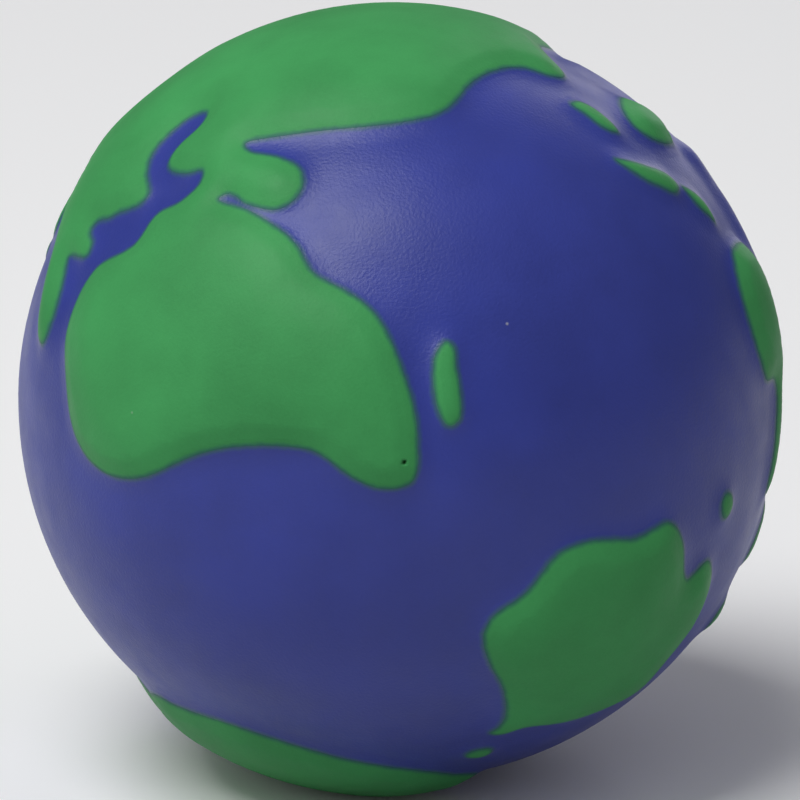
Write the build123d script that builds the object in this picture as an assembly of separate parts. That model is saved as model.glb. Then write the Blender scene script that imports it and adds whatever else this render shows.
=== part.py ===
"""Globe stress ball: a squeezable foam ball moulded as the Earth, with raised lands.

The origin is the centre of the ball, +Z is up as the ball lies, and -Y is the side that faces
the front. Every coast is a closed smooth curve through hand-chosen points (longitude, latitude)
in degrees, on a simplified toy map whose lands are softer and fewer than the real Earth's.
"""
import os
from math import cos, radians, sin

from build123d import *

# Driving dimensions, mm.
LAND_RADIUS = 35.0  # over the raised lands, so the ball is 70 mm across
RELIEF = 1.65  # how far a land stands out of the sea
SKIN = 0.45  # dense blue moulded skin round the soft foam
WALL_MARGIN = 0.5  # how far a cutting wall runs past both faces of the relief

# How the globe lies, degrees.
FACING_LONGITUDE = 39.0
FACING_LATITUDE = -20.0
FACING_ELEVATION = 15.0  # the facing point looks forwards and this much upwards
NORTH_LEAN = 41.5  # the north pole leans this much to the left of straight up
QUARTER_TURN = 90.0

SEA_RADIUS = LAND_RADIUS - RELIEF
CORE_RADIUS = SEA_RADIUS - SKIN

# Coasts, each one closed round its land. Every point is (longitude, latitude).
AFRICA_EURASIA = [
    # North Africa, eastwards from the strait
    (3.5, 24), (5.5, 26), (9.5, 28), (13, 29), (17, 29), (20.5, 27.5), (24.5, 26), (28, 26.8),
    (30.5, 27), (33, 25.8), (36, 25.3), (38.8, 25.8), (39.8, 27),
    # the Levant, Anatolia and the long inland sea
    (38.5, 28.5), (36.5, 31), (36.2, 33.5), (39, 35.5), (43, 35.8), (46, 36.3), (47.6, 37.6),
    (46.2, 39.4), (42.5, 40.2), (38, 39.9), (35, 38.7), (33, 36.6), (31.8, 34), (30.5, 31.8),
    (28, 31.8),
    # the north shore of the middle sea, westwards
    (25, 33.6), (22, 35.2), (19.5, 36.6), (17.9, 36.2), (17.2, 34.2), (15.5, 33.2), (13, 35),
    (11.3, 36.5), (9.6, 35.4), (7, 33), (4, 31), (1, 29.8), (-1.8, 29.6), (-2.6, 31.2),
    # the Atlantic shore, northwards
    (-1, 34.5), (2, 38), (5, 41), (7.5, 43.8), (9.5, 47.5), (11.5, 51.5), (14, 56), (12, 60),
    (15, 65), (22, 69.5),
    # the Arctic shore, eastwards
    (36, 69), (48, 68), (62, 70), (76, 73.5), (98, 76), (116, 74), (136, 72.5), (158, 70.5),
    (176, 69), (-172, 66.5),
    # the Pacific shore, southwards
    (177, 63), (166, 60.5), (160, 53.5), (154.5, 57), (148, 60), (138, 55.5), (135, 48), (128, 43.5),
    (124.5, 37), (121, 38.5), (117, 37.8), (116.5, 32), (118, 26.5), (116.5, 22.5), (112.5, 20.2),
    (107.5, 19.3), (103.8, 17.8),
    # the bay of the far south-east and the Indian shore, westwards
    (100.8, 14.8), (99.3, 11.6), (97.8, 9.4), (95, 9.9), (92, 12.6), (88.5, 13.8), (84, 13.8),
    (80, 13), (76, 11.4), (72, 10.8), (68, 12), (63.5, 14.4), (59, 17.6), (54.5, 21), (50.5, 24.1),
    (47.4, 25.4), (47.2, 24.4), (48.6, 21.6), (50.2, 18.4),
    # Arabia and the narrow sea
    (50.6, 15.6), (49.3, 13.2), (46.8, 12.1), (44, 12.7), (42.3, 14.8), (41.2, 17.4), (40.1, 20.4),
    (39.1, 20.6), (39.8, 18), (41.2, 15), (42, 12),
    # East Africa, southwards
    (42.7, 8.5), (42.6, 5), (42, 2), (43, -2), (44.3, -6), (44.5, -10.5), (43.3, -15), (41.2, -20),
    (38.5, -24.2), (35.5, -27.5), (32.3, -29.6),
    # South and West Africa, back to the strait
    (29.4, -28.6), (26.8, -25.4), (25.8, -21.6), (25.1, -17.4), (22.6, -13.8), (18, -9.2),
    (12.8, -5.4), (8, -3), (4.4, -1.3), (1, 1.2), (-1.8, 4.8), (-3.1, 9.5), (-2.5, 14), (0, 18.7),
]

AMERICAS = [
    # Brazil, round the cape and up the west side
    (-52, -9), (-47, -10.3), (-42, -12.3), (-38, -15.5), (-35.3, -20), (-33, -25), (-31.6, -31),
    (-32, -38), (-34.2, -45), (-38.5, -52.5), (-45, -57.5), (-53, -60), (-62, -60.5), (-70, -57),
    (-74, -49), (-74, -40), (-73, -30), (-72.5, -21), (-77, -13), (-81.5, -6), (-81, 0.5), (-79.5, 6),
    # the isthmus and Mexico
    (-84, 8.5), (-89, 12.5), (-97, 15.5), (-105, 19.5), (-110, 25.5), (-116, 31.5), (-122.5, 38),
    (-125, 46), (-131, 53), (-140, 58.5), (-151, 59.5), (-161, 57), (-164, 62), (-165, 67.5),
    (-154, 71), (-136, 70), (-116, 69.5), (-98, 68.5), (-86, 67), (-88, 61.5), (-88, 57), (-80, 54.5),
    (-72, 54), (-70, 59), (-62, 61), (-53, 58.5), (-45, 53.5), (-43.5, 49), (-47.5, 45), (-55, 42.5),
    (-63, 40), (-70, 36), (-75.5, 31), (-78, 25.8), (-81.5, 29), (-89, 29.8), (-96, 26.5),
    (-95.5, 20.5), (-90, 19.5), (-86.5, 20), (-85.5, 16.5), (-82, 13), (-78, 10.8),
    # the Caribbean shore, eastwards
    (-72, 9.5), (-65, 4.5), (-60, -0.5), (-56, -5.5),
]

ANTARCTICA = [
    (-19, -64), (-9, -64.9), (-2, -63.6), (4, -61.6), (9, -58.4), (13, -55.6), (18, -53),
    (23.5, -52.4), (30, -53.3), (37, -52.9), (43, -52.3), (50, -53.6), (57, -56.3), (63, -58.2),
    (69, -58.5), (74.5, -59), (78.5, -61.8), (80.5, -66), (84, -70), (90, -69.2), (96.5, -68.3),
    (103, -70.8), (109, -75), (111, -79.5), (105, -84.5), (-40, -88), (-30, -82.5), (-25, -77),
    (-20, -72), (-19, -68), (-21.5, -65.4),
]

AUSTRALIA = [
    (111, -23), (116, -21.5), (121.5, -22.3), (125, -25.5), (127.3, -30), (128.8, -35),
    (130.5, -40.5), (133, -46), (135.3, -52), (134, -56.8), (130, -56.2), (127, -52), (124.6, -47),
    (122.8, -43.4), (119.5, -41.6), (116, -42.2), (113, -40), (110.6, -36.8), (109, -33),
    (108.5, -29), (109.3, -25.4),
]

MADAGASCAR = [
    (49.6, -17.9), (47, -18.8), (45, -21), (43.4, -23.2), (42.4, -25.4), (42.5, -27.3), (44.2, -27.4),
    (45.6, -26.2), (47, -24.3), (48.2, -22.4), (49.4, -20.6), (50.3, -18.8),
]

BORNEO = [
    (104.8, 3.2), (107.5, 4.2), (111, 3.2), (113.2, 0.5), (113, -2.6), (110.5, -4.9), (107, -5.5),
    (104, -4.6), (102.2, -2.7), (102.1, -0.4), (103.2, 1.7),
]

GREENLAND = [
    (-34, 59.5), (-29, 65), (-21, 69.5), (-14, 76), (-25, 81.5), (-48, 83), (-64, 79.5), (-56, 74.5),
    (-50, 68), (-42, 62),
]

BAFFIN = [
    (-64, 65.5), (-62, 69), (-70, 72), (-82, 74.5), (-90, 73), (-81, 70.5), (-72, 67.5),
]

JAPAN = [
    (131, 31.5), (136.5, 33.5), (141.5, 36.5), (143.5, 42), (146, 44.5), (142, 46.3),
    (139, 40), (134.5, 36.3), (130.5, 34),
]

NEW_GUINEA = [
    (142, -1), (147, -2.5), (153, -5), (158.5, -9.8), (154, -10), (149, -8.8), (144.5, -5),
]

NEW_ZEALAND_NORTH = [
    (160, -51.5), (164.5, -55.3), (169.5, -58), (174, -57), (172, -53), (167, -50), (162.5, -49.3),
]

NEW_ZEALAND_SOUTH = [
    (172, -67), (178, -69.6), (-174, -68.5), (-175, -65.3), (178, -64.3), (172.5, -64.8),
]

PHILIPPINES = [
    (136.5, 18), (140.5, 14), (142.8, 8), (140, 6.3), (137.5, 11), (135, 15),
]

GREAT_BRITAIN = [
    (-10, 60.5), (-4, 63.5), (4, 66.3), (6, 68.8), (-2, 69.5), (-11, 67), (-16, 63.7), (-14, 61),
]

ICELAND = [
    (-19.5, 60), (-18.8, 62), (-21.5, 63.6), (-25.5, 62.8), (-24.5, 60.3),
]

CUBA = [
    (-72, 21.6), (-67, 23.2), (-61, 21), (-61.5, 18.8), (-67, 20.3),
]

SUMATRA = [
    (93.4, 4.2), (95.2, 3.8), (96.4, 2), (97.2, -0.6), (97.2, -2.7), (95.4, -2.3), (94, -0.5),
    (93.2, 2),
]

JAVA = [
    (92.6, -6.9), (95.4, -8.2), (98.6, -9.7), (101.4, -11.1), (102.4, -13), (100.6, -14.1),
    (97.6, -12.9), (94.8, -11),
]

TIMOR = [
    (104, -13), (106.2, -14.2), (108, -16.2), (108.7, -18.9), (106.8, -17.9), (104.8, -16),
]

TASMANIA = [
    (100, -58.2), (103, -59.4), (103.4, -61.2), (101, -62.2), (98, -61.1), (97.5, -59.2),
]

FALKLANDS = [
    (-33, -61.2), (-30.4, -62.7), (-31.5, -64.8), (-35.5, -64.8), (-37, -62.7),
]

LANDS = {
    "land_africa_eurasia": AFRICA_EURASIA,
    "land_americas": AMERICAS,
    "land_antarctica": ANTARCTICA,
    "land_australia": AUSTRALIA,
    "land_madagascar": MADAGASCAR,
    "land_borneo": BORNEO,
    "land_greenland": GREENLAND,
    "land_baffin": BAFFIN,
    "land_japan": JAPAN,
    "land_new_guinea": NEW_GUINEA,
    "land_new_zealand_north": NEW_ZEALAND_NORTH,
    "land_new_zealand_south": NEW_ZEALAND_SOUTH,
    "land_philippines": PHILIPPINES,
    "land_great_britain": GREAT_BRITAIN,
    "land_iceland": ICELAND,
    "land_cuba": CUBA,
    "land_sumatra": SUMATRA,
    "land_java": JAVA,
    "land_timor": TIMOR,
    "land_tasmania": TASMANIA,
    "land_falklands": FALKLANDS,
}


def on_globe(longitude, latitude, radius):
    """The point at this longitude and latitude, as the globe lies."""
    east = radians(longitude)
    north = radians(latitude)
    point = Vector(cos(north) * cos(east), cos(north) * sin(east), sin(north)) * radius
    point = point.rotate(Axis.Z, -FACING_LONGITUDE)
    point = point.rotate(Axis.Y, FACING_LATITUDE)
    point = point.rotate(Axis.X, NORTH_LEAN)
    point = point.rotate(Axis.Z, -QUARTER_TURN)
    return point.rotate(Axis.X, -FACING_ELEVATION)


def coast_line(coast, radius):
    """The smooth closed coast at one radius."""
    points = [on_globe(longitude, latitude, radius) for longitude, latitude in coast]
    return Edge.make_spline(points, periodic=True)


def coast_wall(coast):
    """A wall of straight radial lines along the coast, through the whole relief."""
    inner = coast_line(coast, SEA_RADIUS - WALL_MARGIN)
    outer = coast_line(coast, LAND_RADIUS + WALL_MARGIN)
    return Face.make_surface_from_curves(inner, outer)


def spherical_shell(outer_radius, inner_radius, plane=Plane.XY):
    """A closed hollow ball, whose poles and seam lie as the plane says."""
    outer = Solid.make_sphere(outer_radius, plane, angle1=-90)
    inner = Solid.make_sphere(inner_radius, plane, angle1=-90)
    return outer - inner


def facing_away(coast):
    """A plane that puts the seam of a sphere on the far side of the globe from this land."""
    middle = sum((on_globe(longitude, latitude, 1.0) for longitude, latitude in coast), Vector())
    sideways = middle.cross(Vector(1, 0, 0))
    return Plane(origin=(0, 0, 0), x_dir=-middle, z_dir=sideways)


def raised_land(coast):
    """The pad that stands on the sea inside this coast: the smaller side of its wall."""
    relief_shell = spherical_shell(LAND_RADIUS, SEA_RADIUS, facing_away(coast))
    pieces = relief_shell.split(coast_wall(coast), keep=Keep.ALL)
    return min(pieces, key=lambda piece: piece.volume)


def save(shape, name):
    """Write one piece under its own name."""
    shape.label = name
    export_step(shape, f"parts/{name}.step")


os.makedirs("parts", exist_ok=True)

save(Solid.make_sphere(CORE_RADIUS, angle1=-90), "foam_core")
save(spherical_shell(SEA_RADIUS, CORE_RADIUS), "ocean_skin")

for name, coast in LANDS.items():
    save(raised_land(coast), name)
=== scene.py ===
import math

import bmesh
import bpy
import numpy as np
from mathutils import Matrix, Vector, kdtree


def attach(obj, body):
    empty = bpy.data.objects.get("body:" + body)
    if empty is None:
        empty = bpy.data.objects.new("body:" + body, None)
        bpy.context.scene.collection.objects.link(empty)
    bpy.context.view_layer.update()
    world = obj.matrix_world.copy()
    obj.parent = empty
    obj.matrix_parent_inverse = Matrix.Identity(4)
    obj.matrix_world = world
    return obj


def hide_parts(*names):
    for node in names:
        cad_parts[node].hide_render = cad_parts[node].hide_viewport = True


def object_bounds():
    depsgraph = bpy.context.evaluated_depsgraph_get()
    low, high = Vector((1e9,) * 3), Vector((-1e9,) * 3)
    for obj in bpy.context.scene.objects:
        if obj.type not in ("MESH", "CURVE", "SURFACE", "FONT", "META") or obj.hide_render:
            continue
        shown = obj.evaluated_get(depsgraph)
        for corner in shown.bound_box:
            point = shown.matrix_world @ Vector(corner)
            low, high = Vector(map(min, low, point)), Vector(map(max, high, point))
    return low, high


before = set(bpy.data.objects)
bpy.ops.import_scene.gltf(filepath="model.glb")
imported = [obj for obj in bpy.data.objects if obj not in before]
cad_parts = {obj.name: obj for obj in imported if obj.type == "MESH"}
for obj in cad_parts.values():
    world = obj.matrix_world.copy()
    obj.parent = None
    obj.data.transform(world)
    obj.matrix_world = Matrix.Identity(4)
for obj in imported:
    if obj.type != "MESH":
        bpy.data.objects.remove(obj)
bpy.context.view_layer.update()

MM = 0.001
LANDS = sorted(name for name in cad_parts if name.startswith("land_"))
CORE = "foam_core"
SEA = "ocean_skin"

# ---------------------------------------------------------------- shape, in mm
COAST_SPACING = 0.12  # between the points of a smoothed coast
BASE_SUBDIVISIONS = 6  # of the icosphere that the ball starts from
REFINE_BANDS = (4.5, 1.8, 0.5)  # each halves the cells this near to a coast
FLAW_REFINE = 0.7  # and this near to a pinhole
ROUNDS = (0, 14, 4)  # of evening the relief out, after each refinement
SNAP = 0.04  # a point this near to a coast is moved onto it
FLANK_FOOT = -1.05  # where the relief starts to rise, outside the edge of the paint
FLANK_LENGTH = 2.7  # over which it gets most of the way up
FLANK_POWER = 1.5  # above 1, so that the flank starts softly
PAINT_RISE = 0.24  # share of the relief at the edge of the paint
WALL_SHOWS = 0.88  # share of the relief at which an upright CAD wall shows from the front
STEEPEST_ANGLE = 1.3  # from the front, in radians, that slope_shift takes a tangent of
MOST_TANGENT = 3.0  # that slope_shift works with
LIMB_FADE = (1.25, 1.55)  # angles from the front, in radians, over which slope_shift fades out
TOP_BAND = 0.2  # share of the relief within which a CAD vertex belongs to a land's top
CAMERA_ELEVATION = 15.0
PAINT_PROUD = 0.012  # the green coat on the blue one
SEAT = 0.02  # from a land's underside to the skin that it sits on
CORE_GAP = 0.02  # from the core to the skin round it
SWELL = 0.05  # slow unevenness of the moulded surface
LAST_ROUNDS = 3  # of evening the relief out, once the coasts are cut in
RIDGE_SHARE = 0.5  # of the relief that is left under a ridge
PIT_EDGE = 1.25  # share of a pinhole's reach at which it starts
CELL_DEPTH = 0.35  # of the pits in the foam


# ---------------------------------------------------------------- coasts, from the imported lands
def vertices_mm(mesh):
    flat = np.zeros(len(mesh.vertices) * 3)
    mesh.vertices.foreach_get("co", flat)
    return flat.reshape(-1, 3) / MM


def triangles_of(mesh):
    mesh.calc_loop_triangles()
    flat = np.zeros(len(mesh.loop_triangles) * 3, np.int32)
    mesh.loop_triangles.foreach_get("vertices", flat)
    return flat.reshape(-1, 3)


radii = {
    name: np.linalg.norm(vertices_mm(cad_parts[name].data), axis=1)
    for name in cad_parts
}
LAND_RADIUS = max(radii[name].max() for name in LANDS)
SEA_RADIUS = radii[SEA].max()
SKIN_RADIUS = radii[SEA].min()
RELIEF = LAND_RADIUS - SEA_RADIUS


def coast_loops(node):
    """The upper edges of a land's walls: closed loops of points, with the land on their left."""
    points = vertices_mm(node.data)
    _, first, welded = np.unique(
        np.round(points * 1e4).astype(np.int64), axis=0, return_index=True, return_inverse=True
    )
    points, faces = points[first], welded.reshape(-1)[triangles_of(node.data)]
    high = np.linalg.norm(points, axis=1) > LAND_RADIUS - TOP_BAND * RELIEF
    top = faces[high[faces].all(axis=1)]
    sides = {(a, b) for f in top.tolist() for a, b in ((f[0], f[1]), (f[1], f[2]), (f[2], f[0]))}
    onward = {a: b for a, b in sorted(sides) if (b, a) not in sides and a != b}
    loops = []
    while onward:
        here = min(onward)
        loop = []
        while here in onward:
            loop.append(here)
            here = onward.pop(here)
        loops.append(points[loop])
    return loops


def smooth_loop(points):
    """The same loop as a smooth curve on the land's sphere, in even steps of about COAST_SPACING."""
    ahead = np.roll(points, -1, axis=0) - points
    step = np.linalg.norm(ahead, axis=1)[:, None]
    slope = ahead / step
    before, back = np.roll(step, 1, axis=0), np.roll(slope, 1, axis=0)
    slope = (back * step + slope * before) / (before + step)
    start = np.concatenate([[0.0], np.cumsum(step[:, 0])])
    count = int(start[-1] / COAST_SPACING)
    along = np.arange(count) * start[-1] / count
    i = np.searchsorted(start, along, side="right") - 1
    j = (i + 1) % len(points)
    t = (along - start[i])[:, None] / step[i]
    curve = (
        (2 * t**3 - 3 * t**2 + 1) * points[i]
        + (t**3 - 2 * t**2 + t) * step[i] * slope[i]
        + (3 * t**2 - 2 * t**3) * points[j]
        + (t**3 - t**2) * step[i] * slope[j]
    )
    return curve / np.linalg.norm(curve, axis=1)[:, None]


def toward(azimuth, elevation):
    """Azimuth is from -Y towards +X and elevation above level, both in degrees."""
    a, e = math.radians(azimuth), math.radians(elevation)
    return np.array([math.sin(a) * math.cos(e), -math.cos(a) * math.cos(e), math.sin(e)])


def slope_shift(curve):
    """A land's wall is upright in CAD, and its coast is where the wall's upper part shows from the front.
    On the real, sloping shore the paint ends lower, so the same line from the front lies further out."""
    front = toward(0.0, CAMERA_ELEVATION)
    ahead = curve @ front
    across = curve - ahead[:, None] * front
    sine = np.linalg.norm(across, axis=1)
    lift = (SEA_RADIUS + RELIEF * WALL_SHOWS) / (SEA_RADIUS + RELIEF * PAINT_RISE) - 1
    angle = np.arctan2(sine, ahead)
    fade = ((LIMB_FADE[1] - angle) / (LIMB_FADE[1] - LIMB_FADE[0])).clip(0, 1)
    angle += lift * np.minimum(np.tan(angle.clip(0, STEEPEST_ANGLE)), MOST_TANGENT) * fade
    return across / sine[:, None] * np.sin(angle)[:, None] + front * np.cos(angle)[:, None]


coast, inward, onward_dir, coast_land = [], [], [], []
for number, name in enumerate(LANDS):
    for loop in coast_loops(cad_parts[name]):
        curve = slope_shift(smooth_loop(loop))
        tangent = np.roll(curve, -1, axis=0) - np.roll(curve, 1, axis=0)
        tangent /= np.linalg.norm(tangent, axis=1)[:, None]
        coast.append(curve)
        onward_dir.append(tangent)
        inward.append(np.cross(curve, tangent))
        coast_land.append(np.full(len(curve), number))
coast, inward = np.vstack(coast), np.vstack(inward)
onward_dir, coast_land = np.vstack(onward_dir), np.concatenate(coast_land)
coast_tree = kdtree.KDTree(len(coast))
for k, point in enumerate(coast.tolist()):
    coast_tree.insert(point, k)
coast_tree.balance()


def shore_distance(directions):
    """(distance in mm from the nearest coast, above 0 on land, and that coast point) for each direction."""
    nearest = np.array([coast_tree.find(p)[1] for p in directions.tolist()])
    away = (directions - coast[nearest]) * LAND_RADIUS
    side = np.sign((away * inward[nearest]).sum(axis=1))
    along = (away * onward_dir[nearest]).sum(axis=1).clip(-COAST_SPACING, COAST_SPACING)
    away -= along[:, None] * onward_dir[nearest]
    return side * np.linalg.norm(away, axis=1), nearest


# ---------------------------------------------------------------- the ball's surface
def icosphere(subdivisions):
    shape = bmesh.new()
    bmesh.ops.create_icosphere(shape, subdivisions=subdivisions, radius=1.0)
    shape.verts.ensure_lookup_table()
    points = np.array([v.co for v in shape.verts], float)
    faces = np.array([[v.index for v in f.verts] for f in shape.faces])
    shape.free()
    return points / np.linalg.norm(points, axis=1)[:, None], faces


def edges_of(faces):
    """(the edges, each once, and for each face the number of the edge after each corner)."""
    pairs = np.stack([faces, np.roll(faces, -1, axis=1)], axis=2).reshape(-1, 2)
    edges, number = np.unique(np.sort(pairs, axis=1), axis=0, return_inverse=True)
    return edges, number.reshape(-1, 3)


def divide(points, faces, edges, number, chosen, share):
    """Puts a new point at that share of each chosen edge, and cuts the faces to fit."""
    a, b = points[edges[chosen, 0]], points[edges[chosen, 1]]
    new = a + (b - a) * share
    new /= np.linalg.norm(new, axis=1)[:, None]
    middle = np.full(len(edges), -1)
    middle[chosen] = len(points) + np.arange(len(new))
    m = middle[number]
    cut = m >= 0
    pieces = [faces[cut.sum(axis=1) == 0]]
    for first in range(3):
        turn = [first, (first + 1) % 3, (first + 2) % 3]
        one = cut[:, turn[0]] & ~cut[:, turn[1]] & ~cut[:, turn[2]]
        v, n = faces[one][:, turn], m[one][:, turn]
        pieces += [np.stack([v[:, 0], n[:, 0], v[:, 2]], 1), np.stack([n[:, 0], v[:, 1], v[:, 2]], 1)]
        two = cut[:, turn[0]] & cut[:, turn[1]] & ~cut[:, turn[2]]
        v, n = faces[two][:, turn], m[two][:, turn]
        pieces += [
            np.stack([n[:, 0], v[:, 1], n[:, 1]], 1),
            np.stack([v[:, 0], n[:, 0], n[:, 1]], 1),
            np.stack([v[:, 0], n[:, 1], v[:, 2]], 1),
        ]
    v, n = faces[cut.all(axis=1)], m[cut.all(axis=1)]
    pieces += [np.stack([v[:, k], n[:, k], n[:, k - 1]], 1) for k in range(3)] + [n]
    return np.vstack([points, new]), np.vstack(pieces)


# Pinholes of the moulding: the direction, reach and depth of each. The first is near the south-east
# tip of Africa.
PINHOLES = [
    (toward(0.9, 6.3), 0.20, 0.45),
    (toward(148.0, 22.0), 0.18, 0.30),
    (toward(-118.0, -14.0), 0.17, 0.28),
]

# Low ridges of the moulding that the green doesn't reach: the line of each, its height and its reach.
RIDGES = [
    ([(100.5, 61.0), (98.0, 56.0), (95.6, 50.2), (92.3, 40.6)], 0.30, 1.8),
    ([(92.3, 40.6), (89.6, 31.0), (87.5, 23.0)], 0.60, 2.0),
]


def smoothstep(value):
    t = value.clip(0, 1)
    return t * t * (3 - 2 * t)


def flank(distance):
    """The share of the relief's height that far inside a coast."""
    return 1 - np.exp(-((distance - FLANK_FOOT).clip(0) / FLANK_LENGTH) ** FLANK_POWER)


def relax(values, edges, rounds):
    """Evens a value out over the points, half way to the mean of its neighbours each time."""
    a, b = edges.T
    count = np.bincount(edges.ravel(), minlength=len(values))
    for _ in range(rounds):
        total = np.bincount(a, values[b], len(values)) + np.bincount(b, values[a], len(values))
        values = (values + total / count) / 2
    return values


points, faces = icosphere(BASE_SUBDIVISIONS)
shore, nearest = shore_distance(points)
for level, band in enumerate(REFINE_BANDS):
    edges, number = edges_of(faces)
    near = np.abs(shore) < band
    for spot, _, _ in PINHOLES:
        near |= np.linalg.norm(points - spot, axis=1) * LAND_RADIUS < FLAW_REFINE
    chosen = np.zeros(len(edges), bool)
    chosen[number[near[faces].any(axis=1)]] = True
    old = len(points)
    points, faces = divide(points, faces, edges, number, chosen, 0.5)
    more, more_nearest = shore_distance(points[old:])
    shore, nearest = np.concatenate([shore, more]), np.concatenate([nearest, more_nearest])
    if level < len(REFINE_BANDS) - 1:
        rise = flank(shore)
    else:
        rise = np.concatenate([rise, rise[edges[chosen]].mean(axis=1)])
    rise = relax(rise, edges_of(faces)[0], ROUNDS[level])

close = np.abs(shore) < SNAP
points[close] -= shore[close, None] * inward[nearest[close]] / LAND_RADIUS
points /= np.linalg.norm(points, axis=1)[:, None]
shore[close] = 0.0
edges, number = edges_of(faces)
ends = shore[edges]
chosen = ends[:, 0] * ends[:, 1] < 0
share = (ends[chosen, 0] / (ends[chosen, 0] - ends[chosen, 1]))[:, None]
low, high = rise[edges[chosen, 0]], rise[edges[chosen, 1]]
rise = np.concatenate([rise, low + (high - low) * share[:, 0]])
old = len(points)
points, faces = divide(points, faces, edges, number, chosen, share)
rise = relax(rise, edges_of(faces)[0], LAST_ROUNDS)
more, more_nearest = shore_distance(points[old:])
points[old:] -= more[:, None] * inward[more_nearest] / LAND_RADIUS
points /= np.linalg.norm(points, axis=1)[:, None]
shore, nearest = np.concatenate([shore, more * 0.0]), np.concatenate([nearest, more_nearest])

is_land = shore[faces].max(axis=1) > 0
highest = faces[np.arange(len(faces)), shore[faces].argmax(axis=1)]
face_land = np.where(is_land, coast_land[nearest[highest]], -1)


def swell(directions):
    """Slow, shallow unevenness, the same on every run."""
    wave = np.zeros(len(directions))
    for k in range(1, 8):
        axis = np.array([math.sin(2.1 * k), math.cos(3.7 * k), math.sin(5.3 * k + 1.0)])
        wave += np.sin(directions @ axis * (5.0 + 2.3 * k) + k) / 7
    return wave


surface = SEA_RADIUS + RELIEF * rise + SWELL * swell(points)
for line, height, reach in RIDGES:
    ends = np.array([toward(*place) for place in line])
    off = np.full(len(points), np.inf)
    for a, b in zip(ends[:-1], ends[1:]):
        share = ((points - a) @ (b - a) / ((b - a) @ (b - a))).clip(0, 1)
        off = np.minimum(off, np.linalg.norm(points - a - share[:, None] * (b - a), axis=1) * LAND_RADIUS)
    ridge = height * np.exp(-((off / reach) ** 2))
    surface = np.maximum(surface, SEA_RADIUS + (surface - SEA_RADIUS) * RIDGE_SHARE + ridge)
# how far each point lies inside a pinhole, used to darken the paint there as painted shade in the hollow
pinhole_shade = np.zeros(len(points))
for spot, reach, depth in PINHOLES:
    off = np.linalg.norm(points - spot, axis=1) * LAND_RADIUS / reach
    pinhole_shade = np.maximum(pinhole_shade, smoothstep(PIT_EDGE - off))
    surface -= depth * smoothstep(PIT_EDGE - off)


def vertex_normals(solid, triangles):
    a, b, c = (solid[triangles[:, k]] for k in range(3))
    face = np.cross(b - a, c - a)
    total = np.zeros_like(solid)
    for k in range(3):
        np.add.at(total, triangles[:, k], face)
    return total / np.linalg.norm(total, axis=1)[:, None]


normals = vertex_normals(points * surface[:, None], faces)


# ---------------------------------------------------------------- pieces
def new_piece(name, coordinates, triangles, corner_normals, values, material):
    """A mesh object in metres, with its own corner normals and the given values on its points."""
    mesh = bpy.data.meshes.new(name)
    mesh.vertices.add(len(coordinates))
    mesh.vertices.foreach_set("co", (coordinates * MM).ravel())
    mesh.loops.add(len(triangles) * 3)
    mesh.loops.foreach_set("vertex_index", triangles.ravel())
    mesh.polygons.add(len(triangles))
    mesh.polygons.foreach_set("loop_start", np.arange(len(triangles)) * 3)
    mesh.update(calc_edges=True)
    mesh.polygons.foreach_set("use_smooth", np.ones(len(triangles), bool))
    for key, value in values.items():
        mesh.attributes.new(key, "FLOAT", "POINT").data.foreach_set("value", value.astype(np.float32))
    mesh.normals_split_custom_set(corner_normals.reshape(-1, 3).tolist())
    mesh.materials.append(material)
    obj = bpy.data.objects.new(name, mesh)
    bpy.context.scene.collection.objects.link(obj)
    return obj


def put_in_place(piece, node):
    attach(piece, "root")
    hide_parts(node)


def land_piece(number, name, material):
    """One raised land: its painted top, a wall down along its coast and a flat-lying underside."""
    top = faces[face_land == number]
    used, local = np.unique(top, return_inverse=True)
    top = local.reshape(-1, 3)
    count = len(used)
    upper = points[used] * (surface[used] + PAINT_PROUD)[:, None]
    lower = points[used] * SEA_RADIUS
    sides = np.vstack([top[:, [0, 1]], top[:, [1, 2]], top[:, [2, 0]]])
    key = sides[:, 0] * count + sides[:, 1]
    rim = sides[~np.isin(key, sides[:, 1] * count + sides[:, 0])]
    a, b = rim[:, 0], rim[:, 1]
    wall = np.vstack([np.stack([b, a, a + count], 1), np.stack([b, a + count, b + count], 1)])
    triangles = np.vstack([top, top[:, ::-1] + count, wall])
    solid = np.vstack([upper, lower])
    p, q, r = (solid[wall[:, k]] for k in range(3))
    flat = np.cross(q - p, r - p)
    flat /= np.linalg.norm(flat, axis=1)[:, None]
    corner = np.vstack([
        normals[used][top].reshape(-1, 3),
        -points[used][top[:, ::-1]].reshape(-1, 3),
        np.repeat(flat, 3, axis=0),
    ])
    values = {"shore": np.tile(shore[used], 2), "pinhole_shade": np.tile(pinhole_shade[used], 2)}
    return new_piece(name, solid, triangles, corner, values, material)


def sea_piece(name, material):
    """The blue skin: the sea and the lands' blue flanks outside, a seat under each land, a smooth inside."""
    height = np.where(shore > 0, SEA_RADIUS - SEAT, surface)
    inner, inner_faces = icosphere(BASE_SUBDIVISIONS)
    outer = points * height[:, None]
    solid = np.vstack([outer, inner * SKIN_RADIUS])
    triangles = np.vstack([faces, inner_faces[:, ::-1] + len(points)])
    facing = np.where((shore > 0)[:, None], points, normals)
    corner = np.vstack([facing[faces].reshape(-1, 3), -inner[inner_faces[:, ::-1]].reshape(-1, 3)])
    far_out = np.full(len(inner), -9.0)  # mm from any coast, for the inside of the skin
    values = {"shore": np.concatenate([shore, far_out]), "pinhole_shade": np.concatenate([pinhole_shade, far_out * 0])}
    return new_piece(name, solid, triangles, corner, values, material)


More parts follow.
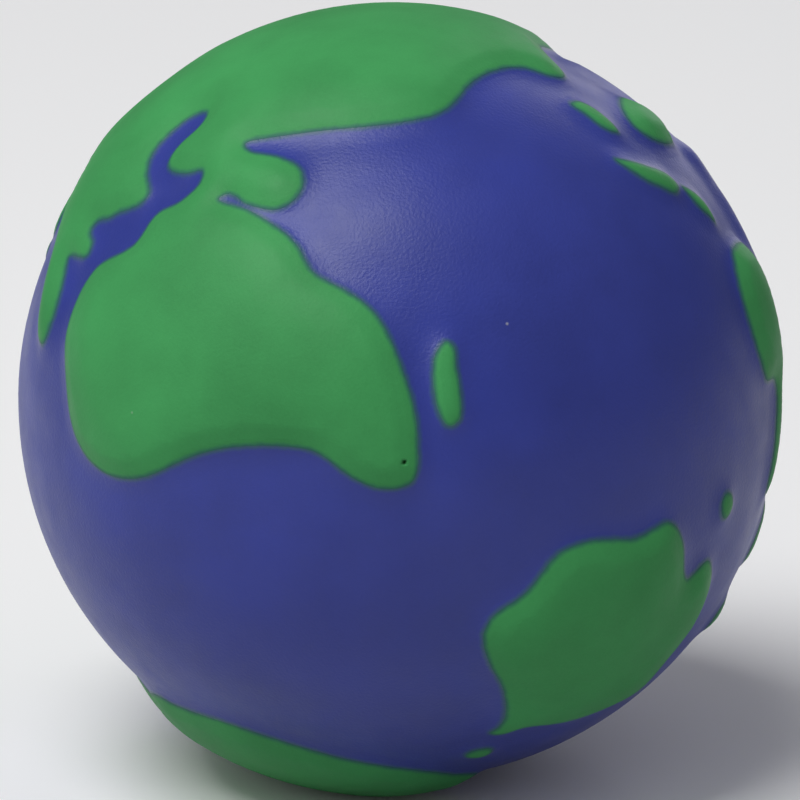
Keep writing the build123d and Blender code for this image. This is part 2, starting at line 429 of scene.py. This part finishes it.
def core_piece(name, material):
    """The foam inside: a ball whose surface is pitted by its cells."""
    ball, ball_faces = icosphere(BASE_SUBDIVISIONS)
    cells = np.zeros(len(ball))
    for k in range(1, 10):
        axis = np.array([math.cos(1.3 * k), math.sin(2.9 * k), math.cos(4.1 * k + 2.0)])
        cells += np.sin(ball @ axis * (60 + 17 * k) + 2.0 * k) / 9
    radius = SKIN_RADIUS - CORE_GAP - CELL_DEPTH * smoothstep(cells * 1.5)
    solid = ball * radius[:, None]
    corner = vertex_normals(solid, ball_faces)[ball_faces].reshape(-1, 3)
    return new_piece(name, solid, ball_faces, corner, {}, material)


# ---------------------------------------------------------------- materials
BLUE = (0.027, 0.042, 0.285)
GREEN = (0.052, 0.310, 0.092)
# where the two coats meet: their blend, made darker than their mix as painted shade along the step at each
# coast
COAST_BLEND_AND_SHADE = (0.028, 0.108, 0.122)
FOAM = (0.72, 0.69, 0.60)
AGED_FOAM = (0.62, 0.56, 0.44)
SPECK = (0.5, 0.5, 0.48)


class Nodes:
    """A material's node tree, with short ways to add to it."""

    def __init__(self, name):
        self.material = bpy.data.materials.new(name)
        self.material.use_nodes = True
        self.tree = self.material.node_tree
        self.tree.nodes.clear()
        self.place = self.add("ShaderNodeTexCoord").outputs["Object"]

    def add(self, kind, **settings):
        node = self.tree.nodes.new(kind)
        for key, value in settings.items():
            setattr(node, key, value)
        return node

    def put(self, node, socket, value):
        if isinstance(value, bpy.types.NodeSocket):
            self.tree.links.new(value, node.inputs[socket])
        elif isinstance(value, tuple) and len(value) == 3 and node.inputs[socket].type == "RGBA":
            node.inputs[socket].default_value = (*value, 1.0)
        else:
            node.inputs[socket].default_value = value
        return node

    def noise(self, size_mm, detail=2.0, roughness=0.5):
        node = self.add("ShaderNodeTexNoise")
        for key, value in (
            ("Vector", self.place),
            ("Scale", 1 / (size_mm * MM)),
            ("Detail", detail),
            ("Roughness", roughness),
        ):
            self.put(node, key, value)
        return node.outputs["Fac"]

    def math(self, operation, a, b, c=0.0):
        node = self.add("ShaderNodeMath", operation=operation)
        for index, value in enumerate((a, b, c)):
            self.put(node, index, value)
        return node.outputs[0]

    def remap(self, value, low, high, to_low=0.0, to_high=1.0, smooth=True):
        node = self.add("ShaderNodeMapRange", interpolation_type="SMOOTHSTEP" if smooth else "LINEAR")
        for key, item in (
            ("Value", value),
            ("From Min", low),
            ("From Max", high),
            ("To Min", to_low),
            ("To Max", to_high),
        ):
            self.put(node, key, item)
        return node.outputs["Result"]

    def mix(self, factor, a, b):
        node = self.add("ShaderNodeMix", data_type="RGBA")
        for index, value in ((0, factor), (6, a), (7, b)):
            self.put(node, index, value)
        return node.outputs[2]

    def value(self, name):
        return self.add("ShaderNodeAttribute", attribute_name=name).outputs["Fac"]

    def specks(self, spacing_mm, size_mm):
        """Sparse round dots."""
        node = self.add("ShaderNodeTexVoronoi", feature="F1")
        for key, value in (("Vector", self.place), ("Scale", 1 / (spacing_mm * MM)), ("Randomness", 1.0)):
            self.put(node, key, value)
        return self.remap(node.outputs["Distance"], size_mm / spacing_mm, 0.4 * size_mm / spacing_mm)

    def bump(self, height, distance_mm, strength, normal=None):
        node = self.add("ShaderNodeBump")
        self.put(node, "Height", height)
        self.put(node, "Distance", distance_mm * MM)
        self.put(node, "Strength", strength)
        if normal is not None:
            self.put(node, "Normal", normal)
        return node.outputs["Normal"]

    def finish(self, colour, roughness, normal, **constants):
        shader = self.add("ShaderNodeBsdfPrincipled")
        self.put(shader, "Base Color", colour)
        self.put(shader, "Roughness", roughness)
        self.put(shader, "Normal", normal)
        for key, value in constants.items():
            self.put(shader, key.replace("_", " "), value)
        output = self.add("ShaderNodeOutputMaterial")
        self.tree.links.new(shader.outputs["BSDF"], output.inputs["Surface"])
        return self.material


def painted(name, own, other, gloss, roughness, texture):
    """A satin coat of paint on a moulded foam skin. Near a coast it darkens, partly as painted shade along
    the step, and thins into the other coat.
    """
    n = Nodes(name)
    cloud = n.remap(n.noise(9.0, 3.0), 0.3, 0.7, smooth=False)
    grain = n.noise(0.28, 3.0, 0.6)
    light, dark = tuple(c * 1.12 for c in own), tuple(c * 0.88 for c in own)
    colour = n.mix(cloud, dark, light)
    fine = n.remap(grain, 0.3, 0.7, smooth=False)
    colour = n.mix(n.math("MULTIPLY", fine, 0.10), colour, tuple(c * 1.5 for c in own))
    ragged = n.math("MULTIPLY_ADD", n.noise(0.9, 3.0, 0.6), 0.30, -0.15)
    feather = n.remap(n.noise(11.0, 1.0), 0.56, 0.70, 0.0, 0.12)
    line = n.math("ADD", n.math("ADD", n.value("shore"), ragged), feather)
    sign = 1.0 if own == GREEN else -1.0
    far = n.math("MULTIPLY", line, sign)
    # a band along the coast, on both coats, goes to the darker blend: partly the coats meeting, partly
    # painted shade on the step
    colour = n.mix(n.math("MULTIPLY", n.remap(far, 0.50, -0.04), 0.85), colour, COAST_BLEND_AND_SHADE)
    colour = n.mix(n.remap(far, 0.05, -0.30), colour, other)
    colour = n.mix(n.math("MULTIPLY", n.specks(11.0, 0.22), 0.55), colour, SPECK)
    # the paint goes dark inside the pinholes: painted shade in the hollow
    colour = n.mix(n.value("pinhole_shade"), colour, tuple(c * 0.15 for c in own))
    rough = n.remap(n.noise(3.5, 3.0), 0.3, 0.7, roughness - 0.03, roughness + 0.05, smooth=False)
    normal = n.bump(n.noise(4.0, 2.0), 0.10, 0.35)
    normal = n.bump(n.noise(0.26, 2.0, 0.55), texture, 1.0, normal)
    return n.finish(colour, rough, normal, Specular_IOR_Level=gloss)


def foam(name):
    n = Nodes(name)
    cells = n.add("ShaderNodeTexVoronoi", feature="DISTANCE_TO_EDGE")
    n.put(cells, "Vector", n.place)
    n.put(cells, "Scale", 1 / (0.5 * MM))
    edge = n.remap(cells.outputs["Distance"], 0.0, 0.2)
    # darker along the cell edges, which the bump below sinks as grooves: painted shade in them
    colour = n.mix(edge, tuple(c * 0.75 for c in FOAM), FOAM)
    colour = n.mix(n.math("MULTIPLY", n.noise(6.0, 2.0), 0.3), colour, AGED_FOAM)
    return n.finish(colour, 0.9, n.bump(edge, 0.1, 0.6), Specular_IOR_Level=0.2)


blue_paint = painted("blue_satin_skin", BLUE, GREEN, 0.42, 0.40, 0.034)
green_paint = painted("green_matte_coat", GREEN, BLUE, 0.16, 0.50, 0.020)

put_in_place(core_piece("foam_ball_core", foam("cream_foam")), CORE)
put_in_place(sea_piece("blue_sea_skin", blue_paint), SEA)
for number, name in enumerate(LANDS):
    put_in_place(land_piece(number, name.replace("land_", "raised_", 1), green_paint), name)

# ---------------------------------------------------------------- floor, light and camera
CAMERA_DISTANCE = 0.6
LENS = 306.9
SHIFT = (0.0026, 0.0003)
HALF = 6.0  # metres, half the floor's side
WHITE = ((0.96, 0.96, 0.96), (0.98, 0.98, 0.98))  # of the floor, as seen
BOUNCE = (0.48, 0.48, 0.49)  # of the floor, as it lights the ball from below

floor_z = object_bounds()[0].z
floor_mesh = bpy.data.meshes.new("floor")
corners = [(x * HALF, y * HALF, floor_z) for x, y in ((-1, -1), (1, -1), (1, 1), (-1, 1))]
floor_mesh.from_pydata(corners, [], [(0, 1, 2, 3)])
floor = bpy.data.objects.new("floor", floor_mesh)
bpy.context.scene.collection.objects.link(floor)
pale = Nodes("pale_floor")
white = pale.mix(pale.noise(400.0), *WHITE)
bounce = pale.add("ShaderNodeLightPath").outputs["Is Diffuse Ray"]
colour = pale.mix(bounce, white, BOUNCE)
grain = pale.bump(pale.noise(2.0), 0.05, 0.1)
floor_mesh.materials.append(pale.finish(colour, 0.9, grain, Specular_IOR_Level=0.1))


def panel(name, direction, distance, size, power, colour=(1, 1, 1)):
    """A soft rectangular light that faces the ball from that direction (azimuth, elevation)."""
    light = bpy.data.lights.new(name, "AREA")
    light.shape = "RECTANGLE"
    light.size, light.size_y = size
    light.energy = power
    light.color = colour
    obj = bpy.data.objects.new(name, light)
    place = Vector(toward(*direction)) * distance
    obj.location = place
    obj.rotation_euler = (-place).to_track_quat("-Z", "Y").to_euler()
    obj.visible_camera = False
    bpy.context.scene.collection.objects.link(obj)


panel("key_softbox", (-48.0, 63.0), 1.6, (0.95, 0.95), 19.5)
panel("left_fill", (-56.0, 10.0), 2.0, (3.4, 3.4), 17.0)
panel("right_fill", (62.0, 42.0), 2.0, (3.0, 3.0), 5.5)
panel("right_strip", (158.0, 22.0), 1.5, (0.30, 1.2), 2.6, (0.95, 0.93, 1.0))

world = bpy.data.worlds.new("studio")
world.use_nodes = True
world.node_tree.nodes["Background"].inputs["Color"].default_value = (0.95, 0.96, 1.0, 1.0)
world.node_tree.nodes["Background"].inputs["Strength"].default_value = 0.14
bpy.context.scene.world = world
bpy.context.scene.view_settings.view_transform = "Standard"

camera = bpy.data.objects.new("camera", bpy.data.cameras.new("camera"))
bpy.context.scene.collection.objects.link(camera)
bpy.context.scene.camera = camera
camera.data.lens = LENS
camera.data.shift_x, camera.data.shift_y = SHIFT
camera.data.clip_start, camera.data.clip_end = 0.01, 50.0
camera.location = Vector(toward(0.0, CAMERA_ELEVATION)) * CAMERA_DISTANCE
camera.rotation_euler = (math.radians(90.0 - CAMERA_ELEVATION), 0.0, 0.0)
